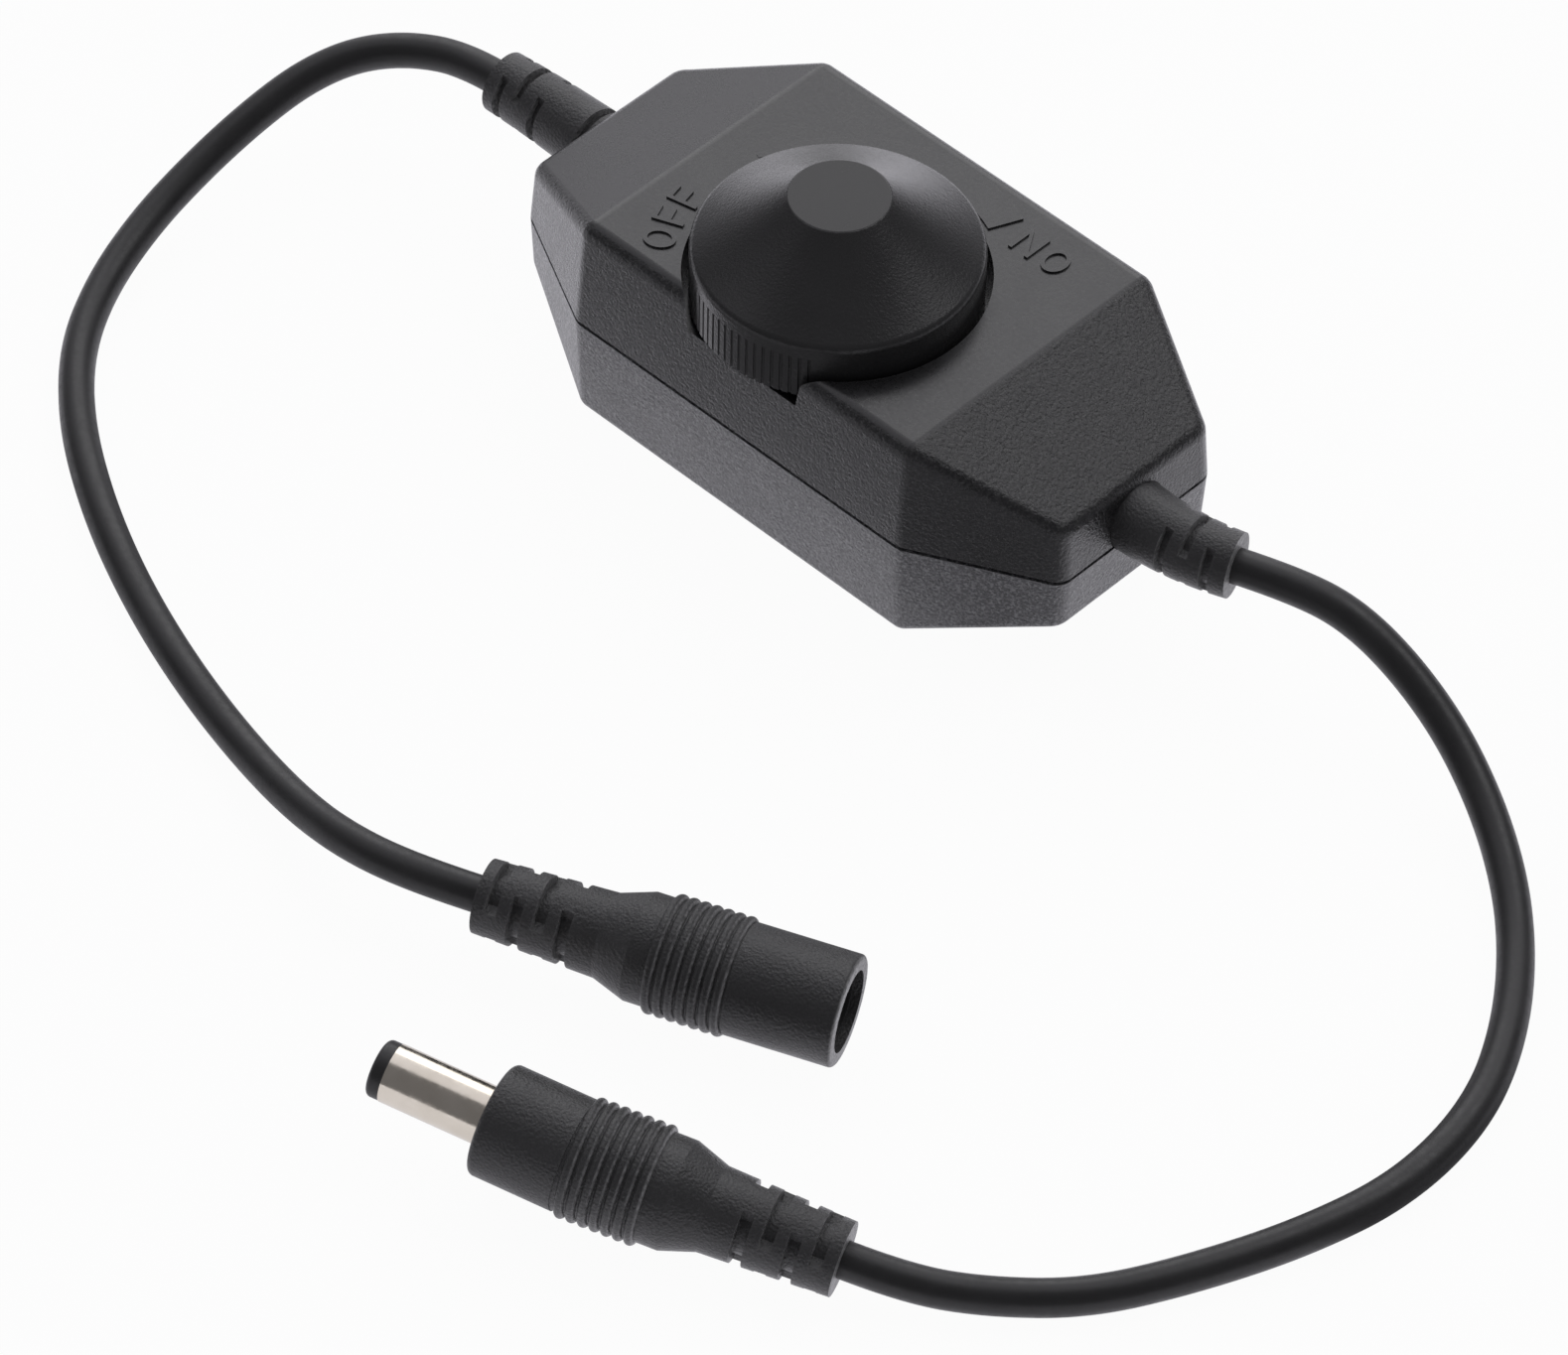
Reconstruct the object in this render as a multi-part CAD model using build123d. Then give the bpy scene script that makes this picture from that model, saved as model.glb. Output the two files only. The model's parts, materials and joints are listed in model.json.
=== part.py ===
from build123d import *
import math
import os

# In-line rotary dimmer for low-voltage LED strips, in millimetres.
# The origin is the middle of the case's underside, +X runs along the case towards the output lead,
# +Y points to the back long side and +Z is up. The case and both leads lie on the plane Z = 0.

# Case
case_length = 70.0
case_width = 34.8
case_height = 23.7
split_height = 11.7
corner_length = 14.0
corner_depth = 7.25
top_ramp_length = 14.35
top_ramp_drop = 5.9
bottom_ramp_length = 14.2
bottom_ramp_rise = 5.7
top_draft = 4.1
bottom_draft = 2.4
wall = 2.0
corner_radius = 2.0
crease_radius = 1.8
top_edge_radius = 1.5
bottom_edge_radius = 1.0
seam_gap = 0.4
seam_depth = 0.5
tongue_thickness = 0.8
tongue_height = 1.2

# Knob and the pocket that it turns in
knob_y = -4.0
knob_radius = 13.9
knob_height = 12.65
knob_disc_radius = 4.85
knob_skirt_height = 6.3
knob_flare_sag = 0.25
knob_shoulder_radius = 0.9
knob_disc_edge_radius = 0.3
knob_wall = 1.9
knob_roof = 1.6
knob_hub_radius = 6.0
knob_cap = 4.2
knob_side_gap = 0.7
knob_floor_gap = 0.75
pocket_depth = 3.7
pocket_wall = 1.6
pocket_floor = 1.6
knurl_count = 96
knurl_start = -57.0
knurl_sweep = 260.0
knurl_height = 4.8
knurl_radius = 0.15
knurl_depth = 0.15

# Raised marks on the top
mark_height = 0.2
wedge_thin_height = 0.04
stroke = 0.42
letter_height = 3.2
letter_width = 2.6
bar_width = 1.75
off_radius = 17.1
off_angles = (-149.5, -157.7, -167.4)
on_letter_y = 11.3
on_o_x = 13.55
on_n_x = 10.16
on_n_width = 2.02
wedge_start = 66.4
wedge_middle = 112.0
wedge_end = 160.0
wedge_outer_radii = (18.9, 18.62, 17.45)
wedge_inner_radii = (15.3, 15.75, 16.9)

# Screws and their bosses
boss_inset_x = 17.5
boss_inset_y = 5.0
boss_radius = 2.8
screw_radius = 1.1
screw_head_radius = 2.0
screw_head_height = 1.6
screw_length = 14.0
screw_slot_length = 2.6
screw_slot_width = 0.6
screw_slot_depth = 0.8
recess_depth = 3.0
recess_clearance = 0.3
shank_clearance = 0.2
pilot_clearance = 0.02

# Circuit board and its posts
board_length = 44.0
board_gap = 0.4
board_thickness = 1.6
board_notch = 8.0
post_height = 4.9
post_radius = 2.2
post_inset = 3.0
post_edge = 2.3
peg_radius = 1.2
peg_clearance = 0.1
peg_rise = 0.5

# Rotary control
pot_width = 11.4
pot_base_height = 1.2
pot_cover_height = 5.0
pot_sheet = 0.4
shaft_radius = 3.0
shaft_flat = 1.6
shaft_clearance = 0.05
knob_bore_clearance = 0.03
shaft_lift = 0.5
shaft_end_gap = 0.2
bushing_wall = 0.5
bushing_gap = 0.4
wiper_radius = 4.3
wiper_height = 1.0
terminal_width = 1.2
terminal_length = 1.7
terminal_thickness = 0.5
terminal_pitch = 3.8

# Parts on the board: x and y are places in plan, an edge is a distance in from the board's long edge
transistor_x = -7.2
transistor_edge = 6.3
transistor_length = 9.2
transistor_width = 10.0
transistor_height = 4.5
tab_length = 6.4
tab_thickness = 1.3
tab_hole_radius = 1.8
lead_width = 0.8
lead_thickness = 0.5
lead_pitch = 2.54
lead_rise = 2.4
lead_reach = 2.2
chip_x = -12.2
chip_y = -4.0
chip_length = 9.4
chip_width = 6.4
chip_height = 3.2
chip_stand = 0.6
chip_leg_pitch = 2.54
chip_leg_width = 1.2
chip_leg_thickness = 0.3
chip_leg_rise = 1.9
capacitor_x = 9.8
capacitor_edge = 6.3
capacitor_radius = 4.0
capacitor_height = 9.0
capacitor_rim = 0.6
diode_x = 10.5
diode_edge = 4.6
diode_radius = 1.35
diode_length = 5.2
diode_lead_radius = 0.4
diode_lead_reach = 1.0
diode_rise = 1.7
regulator_x = 14.5
regulator_y = -1.0
regulator_radius = 2.4
regulator_height = 4.6
regulator_flat = 1.3
regulator_stand = 2.0
regulator_leg = 0.45
regulator_pitch = 1.27
resistor_columns = (-11.5, -7.8, -11.5)
resistor_edges = (3.6, 3.6, 1.6)
chip_capacitor_places = ((7.8, -6.5), (16.0, 4.6))
chip_part_length = 2.0
chip_part_width = 1.25
chip_part_height = 0.6

# Strain reliefs at the case
relief_rise = 1.8
relief_base_radius = 3.6
relief_end_radius = 3.2
relief_clearance = 0.05
flange_radius = 4.2
flange_thickness = 1.2
flange_clearance = 0.1
relief_stub_radius = 2.6
relief_stub_length = 1.4
slot_width = 0.95
slot_depth = 0.8
slot_bridge = 3.2
output_relief_length = 10.8
output_relief_straight = 0.5
output_relief_bend = 20.0
output_slots = (4.75, 6.75, 8.9)
input_relief_length = 13.3
input_relief_straight = 5.0
input_relief_bend = 4.0
input_slots = (6.7, 9.3, 11.5)
input_groove = 0.75

# Leads and the route that each lies along
cable_diameter = 3.5
output_exit_run = 6.2
input_exit_run = 4.9
connector_exit_run = 6.0
bend_share = 0.45
core_diameter = 1.2
core_pitch = 1.8
core_bend = 1.5
core_drop = 10.1

# Connectors: lengths run from the front face to the lead
connector_radius = 5.25
connector_rib_radius = 5.6
connector_waist_radius = 5.1
connector_neck_radius = 4.0
connector_end_radius = 3.5
rib_count = 7
rib_pitch = 1.09
rib_round = 0.45
connector_slot_width = 1.2
connector_slot_depth = 1.0
connector_slot_count = 4
connector_slot_pitch = 2.3
connector_last_slot = 1.75
connector_rest_gap = 0.05

plug_heading = 23.4
plug_bend = -4.0
plug_end_x = 71.095
plug_end_y = -76.491
plug_edge_radius = 0.6
plug_front_length = 8.1
plug_rib_end = 15.75
plug_waist_end = 17.75
plug_taper_end = 21.0
plug_length = 33.2
barrel_radius = 2.75
barrel_wall = 0.55
barrel_length = 9.8
barrel_root_radius = 2.45
barrel_seat = 3.0
tip_length = 1.35
tip_step = 0.05
tip_edge_radius = 0.5
plug_bore_radius = 1.05
contact_wall = 0.3
contact_setback = 0.9

socket_heading = 23.45
socket_bend = 0.95
socket_end_x = 21.161
socket_end_y = -70.988
socket_edge_radius = 0.4
socket_front_length = 10.2
socket_rib_end = 17.9
socket_waist_end = 19.75
socket_taper_end = 22.95
socket_length = 34.8
mouth_radius = 3.85
mouth_depth = 12.0
socket_hole_radius = 3.2
insulator_setback = 0.8
insulator_base = 1.6
pin_radius = 1.0
pin_setback = 1.5
spring_width = 1.6
spring_thickness = 0.3
spring_length = 7.0

# Values that follow from the sizes above
half_length = case_length / 2
half_width = case_width / 2
top_height = case_height - split_height
pocket_level = case_height - pocket_depth
pocket_radius = knob_radius + knob_side_gap
floor_underside = pocket_level - pocket_floor
knob_bottom = pocket_level + knob_floor_gap
knob_top = knob_bottom + knob_height
board_bottom = wall + post_height
board_top = board_bottom + board_thickness
board_draft = math.tan(math.radians(bottom_draft)) * (split_height - board_bottom)
board_width = case_width - 2 * (wall + board_draft + board_gap)
board_edge = board_width / 2
post_x = board_length / 2 - post_inset
post_y = board_edge - board_notch - post_edge
transistor_y = board_edge - transistor_edge
capacitor_y = board_edge - capacitor_edge
diode_y = diode_edge - board_edge
resistor_places = [(x, edge - board_edge) for x, edge in zip(resistor_columns, resistor_edges)]
boss_x = half_length - boss_inset_x
boss_y = half_width - boss_inset_y
relief_height = split_height + relief_rise
flange_outer = half_length - wall - flange_clearance
flange_inner = flange_outer - flange_thickness
relief_inner = flange_inner - relief_stub_length
cover_bottom = board_top + pot_base_height
cover_top = cover_bottom + pot_cover_height
shaft_bottom = cover_bottom + shaft_lift
hub_bore_top = knob_top - knob_cap
shaft_top = hub_bore_top - shaft_end_gap

# The plug lies on its last rib and its tail, the socket on its first rib and the edge of its mouth
plug_tail_run = plug_length - plug_rib_end + rib_pitch / 2
plug_tilt = math.degrees(math.atan((connector_rib_radius - connector_end_radius) / plug_tail_run))
plug_end_height = connector_rest_gap + connector_end_radius * math.cos(math.radians(plug_tilt))
socket_first_rib = socket_rib_end - (rib_count - 0.5) * rib_pitch
socket_mouth_run = socket_first_rib - socket_edge_radius
socket_tilt = math.degrees(math.atan((connector_rib_radius - connector_radius) / socket_mouth_run))
socket_rib_height = connector_rest_gap + connector_rib_radius * math.cos(math.radians(socket_tilt))
socket_tail_rise = (socket_length - socket_first_rib) * math.sin(math.radians(socket_tilt))
socket_end_height = socket_rib_height + socket_tail_rise

cut_margin = 1.0  # how far a cutter reaches past the face that it opens

BASE = (Align.CENTER, Align.CENTER, Align.MIN)
SIDES = (-1, 1)


# Helpers for plain shapes

def drum(radius, low, high, x=0.0, y=0.0):
    """Upright cylinder between two heights."""
    return Pos(x, y, low) * Cylinder(radius, high - low, align=BASE)


def rod(radius, start, end):
    """Cylinder along X between two stations."""
    return Pos(start, 0, 0) * Rot(0, 90, 0) * Cylinder(radius, end - start, align=BASE)


def block(x_low, x_high, y_low, y_high, z_low, z_high):
    """Box between two corners."""
    box = Box(x_high - x_low, y_high - y_low, z_high - z_low, align=BASE)
    return Pos((x_low + x_high) / 2, (y_low + y_high) / 2, z_low) * box


def polar(radius, degrees):
    """Point in plan at a radius and angle about the knob's axis."""
    angle = math.radians(degrees)
    return (radius * math.cos(angle), knob_y + radius * math.sin(angle))


# Case

def outline(inset):
    """Eight-sided plan of the case at the split, drawn in by a thickness."""
    end_y = half_width - corner_depth
    side_x = half_length - corner_length
    plan = Polygon(
        (half_length, end_y), (side_x, half_width), (-side_x, half_width), (-half_length, end_y),
        (-half_length, -end_y), (-side_x, -half_width), (side_x, -half_width), (half_length, -end_y),
        align=None,
    )
    if inset == 0:
        return plan
    return offset(plan, amount=-inset, kind=Kind.INTERSECTION)


def half_case(inset, height, draft, ramp_length, ramp_drop):
    """Half of the case as a solid that stands on the split plane, with a ramp at each end."""
    crease = half_length - ramp_length
    reach = half_length + ramp_length
    low = height - 2 * ramp_drop
    side_view = Polygon(
        (-reach, low), (-crease, height), (crease, height), (reach, low), (reach, -wall), (-reach, -wall),
        align=None,
    )
    creases = side_view.vertices().sort_by(Axis.Y)[-2:]
    side_view = fillet(creases, crease_radius)
    upright = extrude(outline(inset), amount=height, taper=draft)
    if inset == 0:
        corners = upright.edges().filter_by(lambda edge: abs(edge.tangent_at(0.5).Z) > 0.9)
        upright = fillet(corners, corner_radius)
    return upright & extrude(Plane.XZ * side_view, amount=case_width, both=True)


def rounded_half(height, draft, ramp_length, ramp_drop, edge_radius):
    """Outer form of a half with its outer edges rounded."""
    form = half_case(0, height, draft, ramp_length, ramp_drop)
    rim = ShapeList()
    for face in form.faces():
        if face.normal_at().Z > 0.5:
            rim += face.edges().filter_by(is_rim)
    return fillet(rim, edge_radius)


def is_rim(edge):
    """True for an edge at the side or end of a half, false for one that runs across a crease."""
    middle = edge.center()
    return abs(middle.Y) > wall or abs(middle.X) > half_length - corner_length / 2


def band(inset, thickness, low, high):
    """Closed strip that follows the case's outline, between two heights."""
    strip = outline(inset) - outline(inset + thickness)
    return Pos(0, 0, low) * extrude(strip, amount=high - low)


def relief_seats():
    """Holes in the end walls for the strain reliefs, with room inside for their flanges."""
    cuts = []
    for side in SIDES:
        turn = Rot(0, 0, 0 if side > 0 else 180)
        hole = rod(relief_base_radius + relief_clearance, relief_inner, half_length + wall)
        pocket = rod(flange_radius + flange_clearance, relief_inner, flange_outer)
        cuts.append(Pos(0, 0, relief_height) * turn * (hole + pocket))
    return cuts


def boss_places():
    return [(x * boss_x, y * boss_y) for x in SIDES for y in SIDES]


def letter_o():
    """Oval ring, standing on the top face."""
    outer = Ellipse(letter_width / 2, letter_height / 2)
    inner = Ellipse(letter_width / 2 - stroke, letter_height / 2 - stroke)
    return outer - inner


def letter_f():
    """Upright bar with two arms to its right; the upright is at the origin."""
    upright = Rectangle(stroke, letter_height)
    top_arm = Pos(bar_width / 2, (letter_height - stroke) / 2) * Rectangle(bar_width, stroke)
    middle_arm = Pos(bar_width / 2, 0) * Rectangle(bar_width, stroke)
    return upright + top_arm + middle_arm


def letter_n():
    """Two uprights and a diagonal."""
    half_gap = on_n_width / 2
    half_tall = letter_height / 2
    left = Pos(-half_gap, 0) * Rectangle(stroke, letter_height)
    right = Pos(half_gap, 0) * Rectangle(stroke, letter_height)
    diagonal = Polygon(
        (-half_gap - stroke / 2, half_tall), (half_gap - stroke / 2, -half_tall),
        (half_gap + stroke / 2, -half_tall), (-half_gap + stroke / 2, half_tall),
        align=None,
    )
    return left + right + diagonal


def wedge_mark():
    """Curved wedge that widens towards ON."""
    angles = (wedge_start, wedge_middle, wedge_end)
    outer = [polar(radius, angle) for radius, angle in zip(wedge_outer_radii, angles)]
    inner = [polar(radius, angle) for radius, angle in zip(wedge_inner_radii, angles)]
    outer_edge = ThreePointArc(*outer)
    inner_edge = ThreePointArc(*inner)
    wide_end = Line(inner[0], outer[0])
    thin_end = Line(inner[2], outer[2])
    return make_face(Curve() + [outer_edge, inner_edge, wide_end, thin_end])


def wedge_slope():
    """Space under a roof that falls from the wedge's wide end to its thin end."""
    wide_x = polar(wedge_outer_radii[0], wedge_start)[0]
    thin_x = polar(wedge_outer_radii[2], wedge_end)[0]
    side_view = Polygon(
        (thin_x, -mark_height), (wide_x, -mark_height), (wide_x, mark_height), (thin_x, wedge_thin_height),
        align=None,
    )
    return Pos(0, 0, case_height) * extrude(Plane.XZ * side_view, amount=case_width, both=True)


def raised_marks():
    """OFF on an arc about the knob, ON in a straight line, and the wedge between them."""
    letters = []
    for angle, letter in zip(off_angles, (letter_o(), letter_f(), letter_f())):
        letters.append(Pos(*polar(off_radius, angle)) * Rot(0, 0, angle - 90) * letter)
    letters.append(Pos(on_o_x, on_letter_y) * Rot(0, 0, 180) * letter_o())
    letters.append(Pos(on_n_x, on_letter_y) * Rot(0, 0, 180) * letter_n())
    low = Pos(0, 0, case_height - mark_height)
    marks = [low * extrude(letter, amount=2 * mark_height) for letter in letters]
    wedge = low * extrude(wedge_mark(), amount=2 * mark_height)
    marks.append(wedge & wedge_slope())
    return marks


def boss_clear_zone():
    """Space round the upper bosses that the rebate for the tongue leaves alone."""
    zone = Part()
    for x, y in boss_places():
        zone += drum(boss_radius, split_height, case_height, x, y)
    return zone


def make_top_shell():
    at_split = Pos(0, 0, split_height)
    outer = at_split * rounded_half(top_height, top_draft, top_ramp_length, top_ramp_drop,
                                    top_edge_radius)
    cavity = at_split * half_case(wall, top_height - wall, top_draft, top_ramp_length, top_ramp_drop)
    shell = outer - cavity
    well = drum(pocket_radius + pocket_wall, floor_underside, case_height, 0, knob_y)
    shell += well & outer
    shell -= drum(pocket_radius, pocket_level, knob_top, 0, knob_y)
    shell -= drum(shaft_radius + bushing_wall, floor_underside - cut_margin, knob_top, 0, knob_y)
    for x, y in boss_places():
        shell += drum(boss_radius, split_height, case_height, x, y) & outer
    shell -= band(wall - tongue_thickness - flange_clearance, wall, split_height,
                  split_height + tongue_height + flange_clearance) - boss_clear_zone()
    shell -= band(0, seam_depth, split_height, split_height + seam_gap / 2)
    for x, y in boss_places():
        pilot_top = recess_depth + screw_length + wall
        shell -= drum(screw_radius + pilot_clearance, split_height, pilot_top, x, y)
    shell -= relief_seats()
    return shell + raised_marks()


def make_bottom_shell():
    outer_half = rounded_half(split_height, bottom_draft, bottom_ramp_length, bottom_ramp_rise,
                              bottom_edge_radius)
    cavity_half = half_case(wall, split_height - wall, bottom_draft, bottom_ramp_length, bottom_ramp_rise)
    at_split = Pos(0, 0, split_height)
    outer = at_split * mirror(outer_half, about=Plane.XY)
    cavity = at_split * mirror(cavity_half, about=Plane.XY)
    shell = outer - cavity
    shell += band(wall - tongue_thickness, tongue_thickness, split_height - wall,
                  split_height + tongue_height)
    shell -= band(0, seam_depth, split_height - seam_gap / 2, split_height)
    for x, y in boss_places():
        shell += drum(boss_radius, wall / 2, split_height, x, y)
        shell -= drum(screw_radius + shank_clearance, 0, split_height, x, y)
        shell -= drum(screw_head_radius + recess_clearance, 0, recess_depth, x, y)
    for x in SIDES:
        for y in SIDES:
            shell += drum(post_radius, wall / 2, board_bottom, x * post_x, y * post_y)
            shell += drum(peg_radius, board_bottom - wall, board_top + peg_rise, x * post_x, y * post_y)
    return shell - relief_seats()


def make_case_screws():
    """Four identical screws, heads down in the recesses of the bottom shell."""
    head_low = recess_depth - screw_head_height
    head = drum(screw_head_radius, head_low, recess_depth)
    half_slot = screw_slot_length / 2
    half_gap = screw_slot_width / 2
    for turn in (0, 90):
        slot = block(-half_slot, half_slot, -half_gap, half_gap, head_low, head_low + screw_slot_depth)
        head -= Rot(0, 0, turn) * slot
    screw = head + drum(screw_radius, recess_depth, recess_depth + screw_length)
    return Compound([Pos(x, y, 0) * screw.solid() for x, y in boss_places()])


# Knob

def shaft_section(clearance):
    """Round shaft with one flat, drawn larger by a clearance."""
    radius = shaft_radius + clearance
    flat_y = shaft_radius - shaft_flat + clearance
    cut = Pos(0, flat_y + radius) * Rectangle(4 * radius, 2 * radius)
    return Circle(radius) - cut


def make_knob():
    edge_height = knob_bottom + knob_skirt_height
    disc = (knob_disc_radius, knob_top)
    rim = (knob_radius, edge_height)
    chord = Vector(rim[0] - disc[0], rim[1] - disc[1])
    lean = knob_flare_sag / chord.length
    middle = ((disc[0] + rim[0]) / 2 + lean * chord.Y, (disc[1] + rim[1]) / 2 - lean * chord.X)
    edges = [
        Line((0, knob_bottom), (0, knob_top)),
        Line((0, knob_top), disc),
        ThreePointArc(disc, middle, rim),
        Line(rim, (knob_radius, knob_bottom)),
        Line((knob_radius, knob_bottom), (0, knob_bottom)),
    ]
    profile = make_face(Curve() + edges)
    profile = fillet(profile.vertices().sort_by_distance(Vector(*rim))[0], knob_shoulder_radius)
    profile = fillet(profile.vertices().sort_by_distance(Vector(*disc))[0], knob_disc_edge_radius)
    body = revolve(Plane.XZ * profile, axis=Axis.Z)
    hollow_radius = knob_radius - knob_wall
    hollow = drum(hollow_radius, knob_bottom, edge_height - knob_roof)
    body -= hollow - drum(knob_hub_radius, knob_bottom, knob_top)
    bore = extrude(shaft_section(knob_bore_clearance), amount=hub_bore_top - knob_bottom)
    body -= Pos(0, 0, knob_bottom) * bore
    step = 360 / knurl_count
    groove = Pos(knob_radius + knurl_radius - knurl_depth, 0, knob_bottom)
    groove = groove * Cylinder(knurl_radius, knurl_height, align=BASE)
    grooves = []
    for number in range(int(knurl_sweep / step) + 1):
        grooves.append(Rot(0, 0, knurl_start - number * step) * groove)
    return Pos(0, knob_y, 0) * (body - grooves)


# Rotary control

def make_pot_shaft():
    """Shaft with one flat above the bushing."""
    low = drum(shaft_radius, shaft_bottom, floor_underside)
    high = Pos(0, 0, floor_underside) * extrude(shaft_section(0), amount=shaft_top - floor_underside)
    return Pos(0, knob_y, 0) * (low + high)


def make_pot_wiper():
    ring = drum(wiper_radius, shaft_bottom, shaft_bottom + wiper_height)
    return Pos(0, knob_y, 0) * (ring - drum(shaft_radius, shaft_bottom, cover_top))


def make_pot_base():
    half = pot_width / 2
    return block(-half, half, knob_y - half, knob_y + half, board_top, cover_bottom)


def make_pot_cover():
    half = pot_width / 2
    inner = half - pot_sheet
    shell = block(-half, half, -half, half, cover_bottom, cover_top)
    shell -= block(-inner, inner, -inner, inner, cover_bottom, cover_top - pot_sheet)
    shell -= drum(shaft_radius + shaft_clearance, cover_bottom, cover_top)
    return Pos(0, knob_y, 0) * shell


def make_pot_bushing():
    top = floor_underside - bushing_gap
    tube = drum(shaft_radius + bushing_wall, cover_top, top)
    return Pos(0, knob_y, 0) * (tube - drum(shaft_radius + shaft_clearance, cover_top, top))


def make_pot_terminals():
    """Three tabs that lie on the board in front of the control."""
    front = knob_y - pot_width / 2
    tabs = []
    for number in (-1, 0, 1):
        x = number * terminal_pitch
        tab = block(x - terminal_width / 2, x + terminal_width / 2, front - terminal_length, front,
                    board_top, board_top + terminal_thickness)
        tabs.append(tab.solid())
    return Compound(tabs)


# Circuit board and what is on it

def make_circuit_board():
    half_x = board_length / 2
    half_y = board_width / 2
    board = block(-half_x, half_x, -half_y, half_y, board_bottom, board_top)
    for x in SIDES:
        for y in SIDES:
            notch = Box(2 * board_notch, 2 * board_notch, 4 * board_thickness)
            board -= Pos(x * half_x, y * half_y, board_top) * notch
            board -= drum(peg_radius + peg_clearance, board_bottom, board_top, x * post_x, y * post_y)
    return board


def make_power_transistor():
    half = transistor_width / 2
    return block(transistor_x, transistor_x + transistor_length, transistor_y - half, transistor_y + half,
                 board_top, board_top + transistor_height)


def make_transistor_tab():
    half = transistor_width / 2
    tab = block(transistor_x - tab_length, transistor_x, transistor_y - half, transistor_y + half,
                board_top, board_top + tab_thickness)
    hole_x = transistor_x - tab_length / 2
    return tab - drum(tab_hole_radius, board_top, board_top + tab_thickness, hole_x, transistor_y)


def make_transistor_leads():
    """Three leads that leave the body and turn down to the board."""
    start = transistor_x + transistor_length
    level = board_top + lead_rise
    leads = []
    for number in (-1, 0, 1):
        y_low = transistor_y + number * lead_pitch - lead_width / 2
        y_high = y_low + lead_width
        end = start + lead_reach
        flat = block(start, end, y_low, y_high, level, level + lead_thickness)
        leg = block(end - lead_thickness, end, y_low, y_high, board_top, level)
        leads.append((flat + leg).solid())
    return Compound(leads)


def make_timer_chip():
    low = board_top + chip_stand
    return block(chip_x - chip_width / 2, chip_x + chip_width / 2, chip_y - chip_length / 2,
                 chip_y + chip_length / 2, low, low + chip_height)


def make_timer_chip_legs():
    """Four legs along each long side of the chip."""
    legs = []
    for side in SIDES:
        for number in range(4):
            y_low = chip_y + (number - 1.5) * chip_leg_pitch - chip_leg_width / 2
            y_high = y_low + chip_leg_width
            near = chip_x + side * chip_width / 2
            far = near + side * chip_leg_thickness
            leg = block(min(near, far), max(near, far), y_low, y_high, board_top, board_top + chip_leg_rise)
            legs.append(leg.solid())
    return Compound(legs)


def make_filter_capacitor():
    can = drum(capacitor_radius, board_top, board_top + capacitor_height, capacitor_x, capacitor_y)
    return fillet(can.edges().filter_by(GeomType.CIRCLE).sort_by(Axis.Z)[-1], capacitor_rim)


def make_diode():
    level = board_top + diode_rise
    return Pos(diode_x, diode_y, level) * Rot(90, 0, 0) * Cylinder(diode_radius, diode_length)


def make_diode_leads():
    """A lead from each end of the diode, turned down to the board."""
    level = board_top + diode_rise
    leads = []
    for side in SIDES:
        near = diode_y + side * diode_length / 2
        far = near + side * diode_lead_reach
        low = min(near, far + side * diode_lead_radius)
        high = max(near, far + side * diode_lead_radius)
        half = diode_lead_radius
        flat = block(diode_x - half, diode_x + half, low, high, level - half, level + half)
        leg = block(diode_x - half, diode_x + half, far - half, far + half, board_top, level + half)
        leads.append((flat + leg).solid())
    return Compound(leads)


def make_regulator():
    low = board_top + regulator_stand
    body = drum(regulator_radius, low, low + regulator_height)
    body -= block(regulator_flat, 2 * regulator_radius, -2 * regulator_radius, 2 * regulator_radius,
                  low, low + regulator_height)
    return Pos(regulator_x, regulator_y, 0) * body


def make_regulator_legs():
    half = regulator_leg / 2
    legs = []
    for number in (-1, 0, 1):
        y = regulator_y + number * regulator_pitch
        leg = block(regulator_x - half, regulator_x + half, y - half, y + half,
                    board_top, board_top + regulator_stand)
        legs.append(leg.solid())
    return Compound(legs)


def make_chip_parts(places):
    """Small flat parts soldered to the board."""
    half_x = chip_part_width / 2
    half_y = chip_part_length / 2
    top = board_top + chip_part_height
    parts = []
    for x, y in places:
        part = block(x - half_x, x + half_x, y - half_y, y + half_y, board_top, top)
        parts.append(part.solid())
    return Compound(parts)


def make_core(side, offset_y):
    """Insulated core from a strain relief down to the board's end; side is -1 for the input."""
    x_relief = side * relief_inner
    x_board = side * (relief_inner - core_drop)
    points = [
        (x_relief, offset_y, relief_height),
        (x_board, offset_y, relief_height),
        (x_board, offset_y, board_top),
    ]
    path = FilletPolyline(*points, radius=core_bend)
    start = Plane(origin=points[0], z_dir=(-side, 0, 0))
    return sweep(start * Circle(core_diameter / 2), path=path)


# Strain reliefs at the case

def relief_station(distance, straight, length, bend):
    """Place and heading on a relief's line, by distance from the end wall; the relief leaves along +X."""
    if distance <= straight:
        return (half_length + distance, 0.0, 0.0)
    radius = (length - straight) / math.radians(bend)
    angle = (distance - straight) / radius
    x = half_length + straight + radius * math.sin(angle)
    y = radius * (1 - math.cos(angle))
    return (x, y, math.degrees(angle))


def slot_cutter(outer, core, width, upright):
    """Two windows round an axis along X, with a bridge left between them."""
    ring = rod(outer, -width / 2, width / 2) - rod(core, -width, width)
    if upright:
        return ring - Box(2 * width, slot_bridge, 4 * outer)
    return ring - Box(2 * width, 4 * outer, slot_bridge)


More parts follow.
